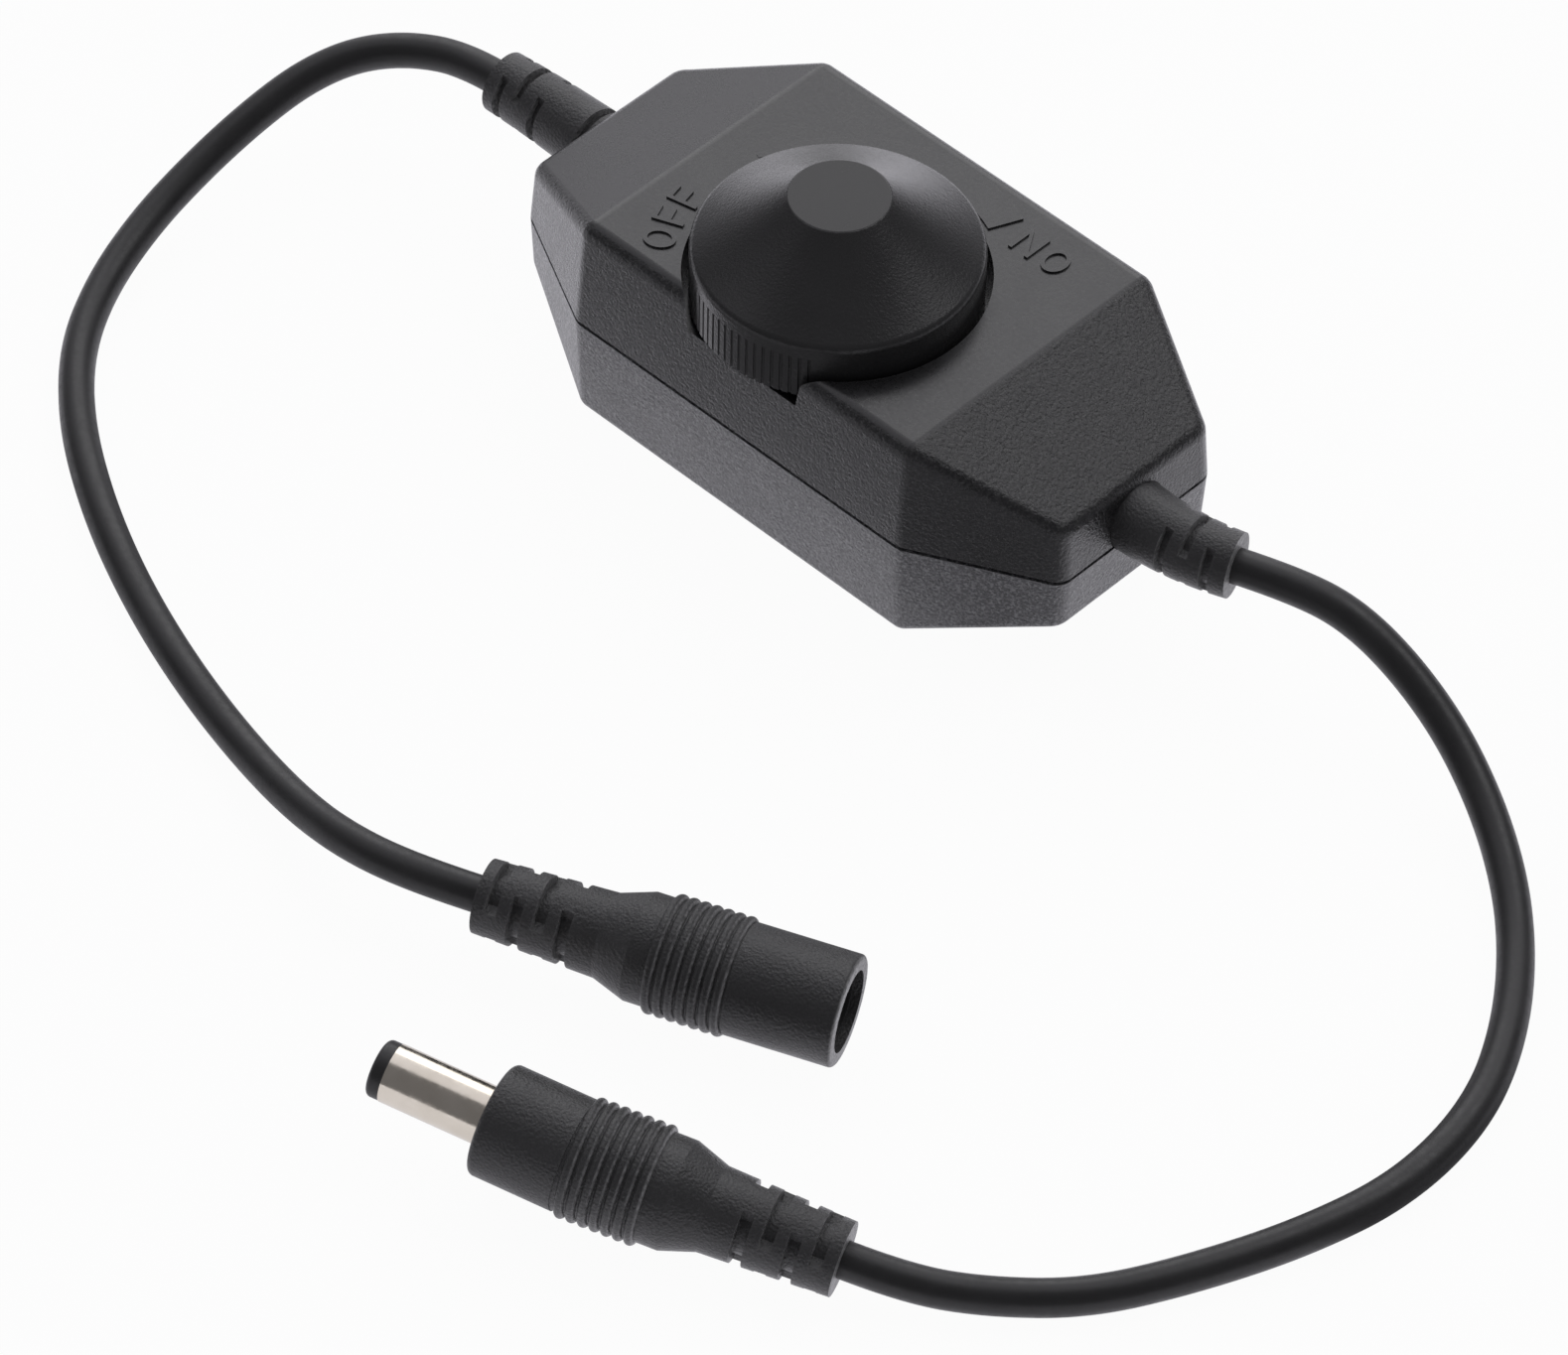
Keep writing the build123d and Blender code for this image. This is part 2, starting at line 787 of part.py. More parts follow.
def make_relief(straight, length, bend, slots):
    """Slotted bend relief along +X that curves towards +Y, with its flange inside the end wall."""
    root = rod(relief_base_radius, flange_inner, half_length)
    root += rod(flange_radius, flange_inner, flange_outer)
    root += rod(relief_stub_radius, relief_inner, flange_inner)
    tip_x, tip_y, tip_heading = relief_station(length, straight, length, bend)
    bend_x = half_length + straight
    line = Line((half_length, 0, 0), (bend_x, 0, 0))
    curve = TangentArc((bend_x, 0, 0), (tip_x, tip_y, 0), tangent=(1, 0, 0))
    root_face = Plane(origin=(half_length, 0, 0), z_dir=(1, 0, 0)) * Circle(relief_base_radius)
    tangent = (math.cos(math.radians(tip_heading)), math.sin(math.radians(tip_heading)), 0)
    tip_face = Plane(origin=(tip_x, tip_y, 0), z_dir=tangent) * Circle(relief_end_radius)
    body = sweep([root_face, tip_face], path=Curve() + [line, curve], multisection=True)
    body += root
    for number, distance in enumerate(slots):
        x, y, heading = relief_station(distance, straight, length, bend)
        share = distance / length
        radius = relief_base_radius + share * (relief_end_radius - relief_base_radius)
        cutter = slot_cutter(radius + cut_margin, radius - slot_depth, slot_width, number % 2 == 0)
        body -= Pos(x, y, 0) * Rot(0, 0, heading) * cutter
    return body


def make_output_relief():
    relief = make_relief(output_relief_straight, output_relief_length, output_relief_bend, output_slots)
    return Pos(0, 0, relief_height) * relief


def make_input_relief():
    relief = make_relief(input_relief_straight, input_relief_length, input_relief_bend, input_slots)
    low = half_length + input_groove - slot_width / 2
    ring = rod(relief_base_radius + cut_margin, low, low + slot_width)
    relief -= ring - rod(relief_base_radius - slot_depth, low, low + slot_width)
    return Pos(0, 0, relief_height) * Rot(0, 0, 180) * relief


def relief_end(side, straight, length, bend):
    """Point where a lead leaves its relief; side is -1 for the input."""
    x, y, heading = relief_station(length, straight, length, bend)
    return (side * x, side * y, relief_height)


# Leads

def ahead(point, heading, run, climb=0.0):
    """Point a run further on from another, along a heading in plan and a climb in degrees."""
    angle = math.radians(heading)
    level_run = run * math.cos(math.radians(climb))
    rise = run * math.sin(math.radians(climb))
    return (point[0] + level_run * math.cos(angle), point[1] + level_run * math.sin(angle), point[2] + rise)


lead_rest = cable_diameter / 2
output_start = relief_end(1, output_relief_straight, output_relief_length, output_relief_bend)
input_start = relief_end(-1, input_relief_straight, input_relief_length, input_relief_bend)
plug_end = (plug_end_x, plug_end_y, plug_end_height)
socket_end = (socket_end_x, socket_end_y, socket_end_height)

output_route = [
    output_start,
    ahead(output_start, output_relief_bend, output_exit_run),
    (57.2, 5.4, 12.5),
    (63.9, 5.8, 9.6),
    (71.1, 4.6, 6.4),
    (79.1, 1.0, 3.4),
    (86.5, -4.8, lead_rest),
    (93.6, -13.7, lead_rest),
    (98.3, -23.5, lead_rest),
    (99.4, -34.8, lead_rest),
    (96.8, -45.4, lead_rest),
    (92.5, -55.6, lead_rest),
    (88.0, -63.7, lead_rest),
    (82.1, -69.7, 2.0),
    ahead(plug_end, plug_heading, connector_exit_run, -plug_tilt),
    plug_end,
]

input_route = [
    input_start,
    ahead(input_start, input_relief_bend + 180, input_exit_run),
    (-58.6, -3.0, 12.9),
    (-62.9, -6.3, 11.5),
    (-65.5, -10.9, 9.7),
    (-66.8, -16.8, 7.4),
    (-67.3, -23.6, 5.0),
    (-66.7, -31.2, 3.0),
    (-64.1, -39.4, 1.9),
    (-59.4, -47.0, lead_rest),
    (-52.0, -53.8, lead_rest),
    (-42.5, -59.7, lead_rest),
    (-32.3, -64.5, lead_rest),
    (-21.6, -68.3, lead_rest),
    (-11.0, -71.0, lead_rest),
    (-0.4, -73.5, 3.5),
    (8.2, -74.7, 5.9),
    ahead(socket_end, socket_heading + 180, connector_exit_run, socket_tilt),
    socket_end,
]


def bend_radii(points):
    """Largest bend at each corner that leaves a little of both runs straight."""
    radii = []
    for before, corner, after in zip(points, points[1:], points[2:]):
        run_in = Vector(*corner) - Vector(*before)
        run_out = Vector(*after) - Vector(*corner)
        half_turn = math.radians(run_in.get_angle(run_out)) / 2
        shorter = min(run_in.length, run_out.length)
        radii.append(bend_share * shorter / math.tan(half_turn))
    return radii


def make_cable(name, points):
    """Round lead along straight runs joined by tangent arcs."""
    radii = bend_radii(points)
    path = FilletPolyline(*points, radius=radii)
    start = Plane(origin=points[0], z_dir=Vector(*points[1]) - Vector(*points[0]))
    tube = sweep(start * Circle(cable_diameter / 2), path=path)
    section = math.pi * cable_diameter ** 2 / 4
    print(name, "bend radii", [round(radius, 1) for radius in radii])
    print(name, "length", round(path.length, 1), "volume", round(tube.volume, 1),
          "section x length", round(section * path.length, 1))
    return tube


# Connectors, modelled along +X from the front face and then laid in place

def front_turn(front_length, bend):
    """Move that bends what is in front of the ribs to one side, about the end of the front."""
    return Pos(front_length, 0, 0) * Rot(0, 0, bend) * Pos(-front_length, 0, 0)


def connector_body(front_length, rib_end, waist_end, taper_end, length, edge_radius, bend):
    """Moulded grip with a round front, ribs, a neck and a slotted tail."""
    front = rod(connector_radius, 0, front_length)
    front = fillet(front.edges().filter_by(GeomType.CIRCLE).sort_by(Axis.X)[0], edge_radius)
    rear_start = front_length - rib_pitch
    profile = Polygon(
        (rear_start, 0), (length, 0), (length, connector_end_radius), (taper_end, connector_neck_radius),
        (waist_end, connector_waist_radius), (rear_start, connector_waist_radius),
        align=None,
    )
    rib_start = rib_end - rib_count * rib_pitch
    for number in range(rib_count):
        x = rib_start + (number + 0.5) * rib_pitch
        profile += Pos(x, connector_rib_radius - rib_round) * Circle(rib_round)
    body = revolve(profile, axis=Axis.X)
    body += front_turn(front_length, bend) * front
    for number in range(connector_slot_count):
        x = length - connector_last_slot - (connector_slot_count - 1 - number) * connector_slot_pitch
        share = (x - taper_end) / (length - taper_end)
        radius = connector_neck_radius + share * (connector_end_radius - connector_neck_radius)
        core = radius - connector_slot_depth
        cutter = slot_cutter(radius + cut_margin, core, connector_slot_width, number % 2 == 0)
        body -= Pos(x, 0, 0) * cutter
    return body


def lay_plug(shape):
    """Move a plug piece from its own axis to where the plug lies."""
    turn = Rot(0, 0, plug_heading) * Rot(0, plug_tilt, 0)
    return Pos(*plug_end) * turn * Pos(-plug_length, 0, 0) * shape


def lay_plug_front(shape):
    """Lay a piece that goes with the plug's bent front."""
    return lay_plug(front_turn(plug_front_length, plug_bend) * shape)


def lay_socket(shape):
    """Move a socket piece from its own axis to where the socket lies, mouth away from its lead."""
    turn = Rot(0, 0, socket_heading + 180) * Rot(0, -socket_tilt, 0)
    return Pos(*socket_end) * turn * Pos(-socket_length, 0, 0) * shape


def lay_socket_front(shape):
    """Lay a piece that goes with the socket's bent front."""
    return lay_socket(front_turn(socket_front_length, socket_bend) * shape)


def make_plug_body():
    body = connector_body(plug_front_length, plug_rib_end, plug_waist_end, plug_taper_end, plug_length,
                          plug_edge_radius, plug_bend)
    seat = front_turn(plug_front_length, plug_bend) * rod(barrel_root_radius, 0, barrel_seat)
    return lay_plug(body - seat)


def make_plug_barrel():
    """Metal sleeve with a narrower root in the grip."""
    tube = rod(barrel_radius, -barrel_length, 0) + rod(barrel_root_radius, 0, barrel_seat)
    return lay_plug_front(tube - rod(barrel_radius - barrel_wall, -barrel_length, barrel_seat))


def make_plug_tip():
    """Insulating nose and sleeve inside the barrel."""
    front = -barrel_length - tip_length
    nose = rod(barrel_radius - tip_step, front, -barrel_length)
    nose = fillet(nose.edges().filter_by(GeomType.CIRCLE).sort_by(Axis.X)[0], tip_edge_radius)
    nose += rod(barrel_radius - barrel_wall, -barrel_length, barrel_seat)
    return lay_plug_front(nose - rod(plug_bore_radius + contact_wall, front, barrel_seat))


def make_plug_inner_contact():
    """Sleeve contact that takes the centre pin of a socket."""
    start = -barrel_length - tip_length + contact_setback
    tube = rod(plug_bore_radius + contact_wall, start, barrel_seat)
    return lay_plug_front(tube - rod(plug_bore_radius, start, barrel_seat))


def make_socket_body():
    body = connector_body(socket_front_length, socket_rib_end, socket_waist_end, socket_taper_end,
                          socket_length, socket_edge_radius, socket_bend)
    hole = front_turn(socket_front_length, socket_bend) * rod(mouth_radius, 0, mouth_depth)
    return lay_socket(body - hole)


def make_socket_insulator():
    """Insert with the hole for a plug's barrel."""
    insert = rod(mouth_radius, insulator_setback, mouth_depth)
    insert -= rod(socket_hole_radius, insulator_setback, mouth_depth - insulator_base)
    insert -= rod(pin_radius, insulator_setback, mouth_depth)
    return lay_socket_front(insert)


def make_socket_pin():
    return lay_socket_front(rod(pin_radius, pin_setback, mouth_depth))


def make_socket_spring_contact():
    """Flat spring along the lower side of the hole."""
    seat = mouth_depth - insulator_base
    low = -math.sqrt(socket_hole_radius ** 2 - (spring_width / 2) ** 2)
    half = spring_width / 2
    leaf = block(seat - spring_length, seat, -half, half, low, low + spring_thickness)
    return lay_socket_front(leaf)


parts = {
    "top_shell": make_top_shell(),
    "bottom_shell": make_bottom_shell(),
    "case_screws": make_case_screws(),
    "knob": make_knob(),
    "pot_shaft": make_pot_shaft(),
    "pot_wiper": make_pot_wiper(),
    "pot_base": make_pot_base(),
    "pot_cover": make_pot_cover(),
    "pot_bushing": make_pot_bushing(),
    "pot_terminals": make_pot_terminals(),
    "circuit_board": make_circuit_board(),
    "power_transistor": make_power_transistor(),
    "transistor_tab": make_transistor_tab(),
    "transistor_leads": make_transistor_leads(),
    "timer_chip": make_timer_chip(),
    "timer_chip_legs": make_timer_chip_legs(),
    "filter_capacitor": make_filter_capacitor(),
    "diode": make_diode(),
    "diode_leads": make_diode_leads(),
    "regulator": make_regulator(),
    "regulator_legs": make_regulator_legs(),
    "chip_resistors": make_chip_parts(resistor_places),
    "chip_capacitors": make_chip_parts(chip_capacitor_places),
    "input_lead_positive": make_core(-1, core_pitch / 2),
    "input_lead_negative": make_core(-1, -core_pitch / 2),
    "output_lead_positive": make_core(1, core_pitch / 2),
    "output_lead_negative": make_core(1, -core_pitch / 2),
    "input_strain_relief": make_input_relief(),
    "output_strain_relief": make_output_relief(),
    "input_cable": make_cable("input cable", input_route),
    "output_cable": make_cable("output cable", output_route),
    "socket_body": make_socket_body(),
    "socket_insulator": make_socket_insulator(),
    "socket_spring_contact": make_socket_spring_contact(),
    "socket_pin": make_socket_pin(),
    "plug_body": make_plug_body(),
    "plug_barrel": make_plug_barrel(),
    "plug_tip": make_plug_tip(),
    "plug_inner_contact": make_plug_inner_contact(),
}

os.makedirs("parts", exist_ok=True)
for name, shape in parts.items():
    export_step(shape, f"parts/{name}.step")
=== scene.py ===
import bpy
import json
import math
from mathutils import Matrix, Vector


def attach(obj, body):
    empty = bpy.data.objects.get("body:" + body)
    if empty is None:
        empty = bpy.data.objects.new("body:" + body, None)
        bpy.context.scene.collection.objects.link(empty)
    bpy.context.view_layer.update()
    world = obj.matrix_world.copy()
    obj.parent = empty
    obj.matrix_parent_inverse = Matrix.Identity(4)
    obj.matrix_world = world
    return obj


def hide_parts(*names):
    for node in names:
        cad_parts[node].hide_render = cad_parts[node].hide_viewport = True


# In-line rotary dimmer for LED strips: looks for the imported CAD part, in metres.

MM = 0.001
WHITE = (1.0, 1.0, 1.0, 1.0)

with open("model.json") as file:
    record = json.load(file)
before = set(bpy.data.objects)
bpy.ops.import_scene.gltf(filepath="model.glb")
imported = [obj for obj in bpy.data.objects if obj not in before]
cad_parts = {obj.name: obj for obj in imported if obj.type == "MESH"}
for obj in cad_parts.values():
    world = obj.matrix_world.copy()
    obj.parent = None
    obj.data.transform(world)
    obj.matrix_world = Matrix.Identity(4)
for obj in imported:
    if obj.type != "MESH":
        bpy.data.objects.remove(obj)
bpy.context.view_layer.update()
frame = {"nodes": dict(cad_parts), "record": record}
nodes = frame["nodes"]
scene = bpy.context.scene
scene.view_settings.view_transform = "Standard"


# Camera: the photograph's viewing angle

IMAGE_WIDTH = 1579                  # pixels
FOCAL_PIXELS = 7988.8
SENSOR_WIDTH = 36.0                 # millimetres
AZIMUTH = math.radians(43.164)
ELEVATION = math.radians(47.146)
ROLL = math.radians(1.3835)
OFFSET_RIGHT = -7.38 * MM           # the camera's axis passes this far from the origin
OFFSET_UP = -23.844 * MM
DISTANCE = 758.83 * MM
NEAREST = 0.05                      # what the camera sees, in metres from it
FARTHEST = 20.0


def make_camera():
    back = Vector((math.sin(AZIMUTH) * math.cos(ELEVATION), -math.cos(AZIMUTH) * math.cos(ELEVATION),
                   math.sin(ELEVATION)))
    level = Vector((math.cos(AZIMUTH), math.sin(AZIMUTH), 0))
    upright = back.cross(level)
    right = level * math.cos(ROLL) + upright * math.sin(ROLL)
    up = upright * math.cos(ROLL) - level * math.sin(ROLL)
    place = right * OFFSET_RIGHT + up * OFFSET_UP + back * DISTANCE
    data = bpy.data.cameras.new("photo_camera")
    data.sensor_width = SENSOR_WIDTH
    data.sensor_fit = "HORIZONTAL"
    data.lens = FOCAL_PIXELS * SENSOR_WIDTH / IMAGE_WIDTH
    data.clip_start = NEAREST
    data.clip_end = FARTHEST
    camera = bpy.data.objects.new("photo_camera", data)
    turn = Matrix((right, up, back)).transposed().to_4x4()
    camera.matrix_world = Matrix.Translation(place) @ turn
    scene.collection.objects.link(camera)
    scene.camera = camera


make_camera()


# Leads: each lies along the points of its CAD route, in millimetres

CABLE_DIAMETER = 3.5
ROUND_STEPS = 8                     # fineness of a lead round its section
LONG_STEPS = 16                     # and along its route, between two points
CURVE_ORDER = 3

OUTPUT_ROUTE = [
    (45.592, 1.780, 13.5), (51.418, 3.900, 13.5), (57.2, 5.4, 12.5), (63.9, 5.8, 9.6), (71.1, 4.6, 6.4),
    (79.1, 1.0, 3.4), (86.5, -4.8, 1.75), (93.6, -13.7, 1.75), (98.3, -23.5, 1.75), (99.4, -34.8, 1.75),
    (96.8, -45.4, 1.75), (92.5, -55.6, 1.75), (88.0, -63.7, 1.75), (82.1, -69.7, 2.0),
    (76.564, -74.124, 2.831), (71.095, -76.491, 3.526),
]
INPUT_ROUTE = [
    (-48.293, -0.290, 13.5), (-53.181, -0.632, 13.5), (-58.6, -3.0, 12.9), (-62.9, -6.3, 11.5),
    (-65.5, -10.9, 9.7), (-66.8, -16.8, 7.4), (-67.3, -23.6, 5.0), (-66.7, -31.2, 3.0), (-64.1, -39.4, 1.9),
    (-59.4, -47.0, 1.75), (-52.0, -53.8, 1.75), (-42.5, -59.7, 1.75), (-32.3, -64.5, 1.75),
    (-21.6, -68.3, 1.75), (-11.0, -71.0, 1.75), (-0.4, -73.5, 3.5), (8.2, -74.7, 5.9),
    (15.660, -73.374, 6.654), (21.161, -70.988, 6.452),
]


def make_lead(name, route, node):
    """Round lead on a smooth curve, which stands for its CAD tube."""
    curve = bpy.data.curves.new(name, "CURVE")
    curve.dimensions = "3D"
    curve.bevel_depth = 1.0     # times each point's radius
    curve.bevel_resolution = ROUND_STEPS
    curve.resolution_u = LONG_STEPS
    curve.use_fill_caps = True
    line = curve.splines.new("NURBS")
    line.points.add(len(route) - 1)
    for point, place in zip(line.points, route):
        point.co = (*[value * MM for value in place], 1.0)
        point.radius = CABLE_DIAMETER / 2 * MM
    line.order_u = CURVE_ORDER
    line.use_endpoint_u = True
    lead = bpy.data.objects.new(name, curve)
    scene.collection.objects.link(lead)
    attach(lead, "case")
    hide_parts(node)
    return lead


output_lead = make_lead("output_lead", OUTPUT_ROUTE, "output_cable")
input_lead = make_lead("input_lead", INPUT_ROUTE, "input_cable")


# Materials: sizes are in millimetres, and a range goes from where a mask is none to where it is whole

NOISE_MIDDLE = (0.3, 0.7)           # where most of a noise lies
OUTER_EDGE = (0.80, 0.99)           # agreement of the rounded normal with the plain one, from edge to flat
UPWARD = (0.84, 0.91)               # height part of the normal
OUTPUT_SIDE = (0.12, 0.30)          # part of the normal towards the output lead
FACING = (0.50, 0.88)               # agreement of the normal with a direction
EDGE_RADIUS = 0.35
EDGE_SAMPLES = 4

TONE_PATCH = 9.0
POLISH_PATCH = 4.5
POLISH_GRAIN = 0.06                 # change of roughness with the grain
PEBBLE_SIZE = 1.7                   # times the grain
POLISHED_GRAIN = 0.08               # share of the grain that is left on a smooth top
FLECK_SIZE = 0.30
FLECK_NOISE = (0.48, 0.64)
# Patches of the edge tone: partly wear, partly a painted highlight on rounded edges.
RUB_AND_HIGHLIGHT_PATCH = 2.5
RUB_AND_HIGHLIGHT_NOISE = (0.36, 0.60)
LEAST_RUB_AND_HIGHLIGHT = 0.1
# Noise that breaks up the painted highlight on faces along a direction.
HIGHLIGHT_BREAKUP_SIZE = 0.5
LEAST_HIGHLIGHT_BREAKUP = 0.3
COAT_IOR = 1.22


class Tree:
    """A node tree, with short ways to add to it."""

    def __init__(self, tree):
        self.tree = tree

    def add(self, kind, **settings):
        node = self.tree.nodes.new(kind)
        for key, value in settings.items():
            setattr(node, key, value)
        return node

    def link(self, source, target):
        self.tree.links.new(source, target)

    def put(self, node, **inputs):
        """Set a node's inputs, by name or as n and a number: an output is linked, all else is a value."""
        for key, value in inputs.items():
            numbered = key[0] == "n" and key[1:].isdigit()
            socket = node.inputs[int(key[1:])] if numbered else node.inputs[key]
            if isinstance(value, bpy.types.NodeSocket):
                self.link(value, socket)
            else:
                socket.default_value = value
        return node

    def spread(self, source, low, high, start=NOISE_MIDDLE[0], end=NOISE_MIDDLE[1]):
        """Map a middle range of a value to another range."""
        node = self.add("ShaderNodeMapRange")
        self.put(node, n0=source, n1=start, n2=end, n3=low, n4=high)
        return node.outputs[0]

    def math(self, operation, first, second):
        node = self.add("ShaderNodeMath", operation=operation)
        self.put(node, n0=first, n1=second)
        return node.outputs[0]

    def vector(self, operation, first, second=(0, 0, 0)):
        node = self.add("ShaderNodeVectorMath", operation=operation)
        self.put(node, n0=first, n1=second)
        return node.outputs

    def parts(self, source):
        """The three parts of a vector."""
        node = self.add("ShaderNodeSeparateXYZ")
        self.put(node, Vector=source)
        return node.outputs

    def blend(self, factor, first, second):
        """Colour between two others."""
        node = self.add("ShaderNodeMix", data_type="RGBA")
        self.put(node, n0=factor, n6=first, n7=second)
        return node.outputs[2]


class Shader(Tree):
    """A material's node tree, with what the materials share."""

    def __init__(self, name):
        self.material = bpy.data.materials.new(name)
        self.material.use_nodes = True
        super().__init__(self.material.node_tree)
        self.surface = self.tree.nodes["Principled BSDF"]
        self.place = self.add("ShaderNodeTexCoord").outputs["Object"]

    def noise(self, size, detail=2.0, roughness=0.5):
        """Noise whose features are about a size across."""
        node = self.add("ShaderNodeTexNoise")
        self.put(node, Vector=self.place, Scale=1.0 / (size * MM), Detail=detail, Roughness=roughness)
        return node.outputs["Fac"]

    def cells(self, size):
        """Distance within rounded cells of about a size."""
        node = self.add("ShaderNodeTexVoronoi", feature="SMOOTH_F1")
        self.put(node, Vector=self.place, Scale=1.0 / (size * MM), Smoothness=0.6)
        return node.outputs["Distance"]

    def bump(self, height, depth):
        """Raise the surface by a height of 0 to 1, over a depth."""
        node = self.add("ShaderNodeBump")
        self.put(node, Strength=1.0, Distance=depth * MM, Height=height)
        return node.outputs["Normal"]

    def normal(self):
        return self.add("ShaderNodeNewGeometry").outputs["Normal"]

    def edges(self):
        """Near 1 close to edges, and 0 elsewhere."""
        rounded = self.add("ShaderNodeBevel", samples=EDGE_SAMPLES)
        rounded.inputs["Radius"].default_value = EDGE_RADIUS * MM
        agreement = self.vector("DOT_PRODUCT", rounded.outputs["Normal"], self.normal())["Value"]
        return self.spread(agreement, 1.0, 0.0, *OUTER_EDGE)

    def polished_top(self):
        """1 on the top and on the ramp towards the input lead, and 0 elsewhere."""
        normal = self.parts(self.normal())
        upward = self.spread(normal["Z"], 0.0, 1.0, *UPWARD)
        return self.math("MULTIPLY", upward, self.spread(normal["X"], 1.0, 0.0, *OUTPUT_SIDE))

    def facing(self, direction):
        """1 where the surface faces along a direction."""
        agreement = self.vector("DOT_PRODUCT", self.normal(), direction)["Value"]
        return self.spread(agreement, 0.0, 1.0, *FACING)


def grey(value, blue=1.0):
    return (value, value, value * blue, 1.0)


def moulded(name, dark, light, rough, grain, depth, rubbed_and_highlit_edge=None, specular=0.5, gloss=0.0, pebbles=False,
            smooth_top=False, flecks=None, lit_direction=None, painted_side_highlight=None):
    """Moulded plastic: patchy tone and a fine grain of a size and depth, in bump and roughness.

    Three tones may be given: of the edges, partly wear and partly a painted highlight; of small spots; and of
    the faces along a direction, a painted highlight.
    Gloss is the weight of a thin coat.
    """
    s = Shader(name)
    colour = s.blend(s.spread(s.noise(TONE_PATCH, 4.0), 0.0, 1.0), dark, light)
    fine = s.noise(grain, 3.0, 0.6)
    polish = s.spread(s.noise(POLISH_PATCH, 3.0), *rough)
    roughness = s.math("ADD", polish, s.spread(fine, -POLISH_GRAIN, POLISH_GRAIN))
    height = s.math("ADD", fine, s.cells(grain * PEBBLE_SIZE)) if pebbles else fine
    shown_grain = 1.0
    if smooth_top:
        shown_grain = s.spread(s.polished_top(), 1.0, POLISHED_GRAIN, 0.0, 1.0)
        height = s.math("MULTIPLY", height, shown_grain)
    if flecks is not None:
        spots = s.spread(s.noise(FLECK_SIZE, 2.0, 0.7), 0.0, 1.0, *FLECK_NOISE)
        colour = s.blend(s.math("MULTIPLY", spots, shown_grain), colour, flecks)
    # Edges lightened in patches: partly wear, partly a painted highlight on the rounded edges.
    if rubbed_and_highlit_edge is not None:
        rub_and_highlight_patches = s.spread(s.noise(RUB_AND_HIGHLIGHT_PATCH, 5.0, 0.7), LEAST_RUB_AND_HIGHLIGHT, 1.0, *RUB_AND_HIGHLIGHT_NOISE)
        colour = s.blend(s.math("MULTIPLY", s.edges(), rub_and_highlight_patches), colour, rubbed_and_highlit_edge)
    # Faces along a direction lightened: a painted highlight, broken up by noise.
    if lit_direction is not None:
        highlight_breakup = s.spread(s.noise(HIGHLIGHT_BREAKUP_SIZE, 3.0), LEAST_HIGHLIGHT_BREAKUP, 1.0)
        colour = s.blend(s.math("MULTIPLY", s.facing(lit_direction), highlight_breakup), colour, painted_side_highlight)
    relief = s.bump(height, depth)
    s.put(s.surface, **{
        "Base Color": colour, "Roughness": roughness, "Specular IOR Level": specular, "Normal": relief,
        "Coat Weight": gloss, "Coat Roughness": rough[0], "Coat IOR": COAT_IOR, "Coat Normal": relief,
    })
    return s.material


METAL_PATCH = 3.0
METAL_POLISH_PATCH = 2.0
METAL_POLISH_GRAIN = 0.03


def metal(name, dark, light, rough, grain, depth):
    """Plated metal with a faint grain and small differences in polish."""
    s = Shader(name)
    colour = s.blend(s.spread(s.noise(METAL_PATCH, 4.0), 0.0, 1.0), dark, light)
    fine = s.noise(grain, 2.0)
    polish = s.spread(s.noise(METAL_POLISH_PATCH, 5.0, 0.65), *rough)
    roughness = s.math("ADD", polish, s.spread(fine, -METAL_POLISH_GRAIN, METAL_POLISH_GRAIN))
    s.put(s.surface, **{"Base Color": colour, "Roughness": roughness, "Metallic": 1.0,
                        "Normal": s.bump(fine, depth)})
    return s.material


TRACK_BLOCK = 4.0
TRACK_DEPTH = 0.03
MASK_PATCH = 1.5
MASK_ROUGH = (0.25, 0.4)


def laminate(name):
    """Solder mask over tracks: blocks of slightly different green with thin gaps between them."""
    s = Shader(name)
    tracks = s.add("ShaderNodeTexBrick")
    s.put(tracks, Vector=s.place, Color1=(0.010, 0.085, 0.030, 1.0), Color2=(0.016, 0.110, 0.040, 1.0),
          Mortar=(0.006, 0.050, 0.018, 1.0), Scale=1.0 / (TRACK_BLOCK * MM))
    tracks.inputs["Mortar Size"].default_value = 0.04
    roughness = s.spread(s.noise(MASK_PATCH, 4.0), *MASK_ROUGH)
    s.put(s.surface, **{"Base Color": tracks.outputs["Color"], "Roughness": roughness,
                        "Normal": s.bump(tracks.outputs["Fac"], -TRACK_DEPTH)})
    return s.material


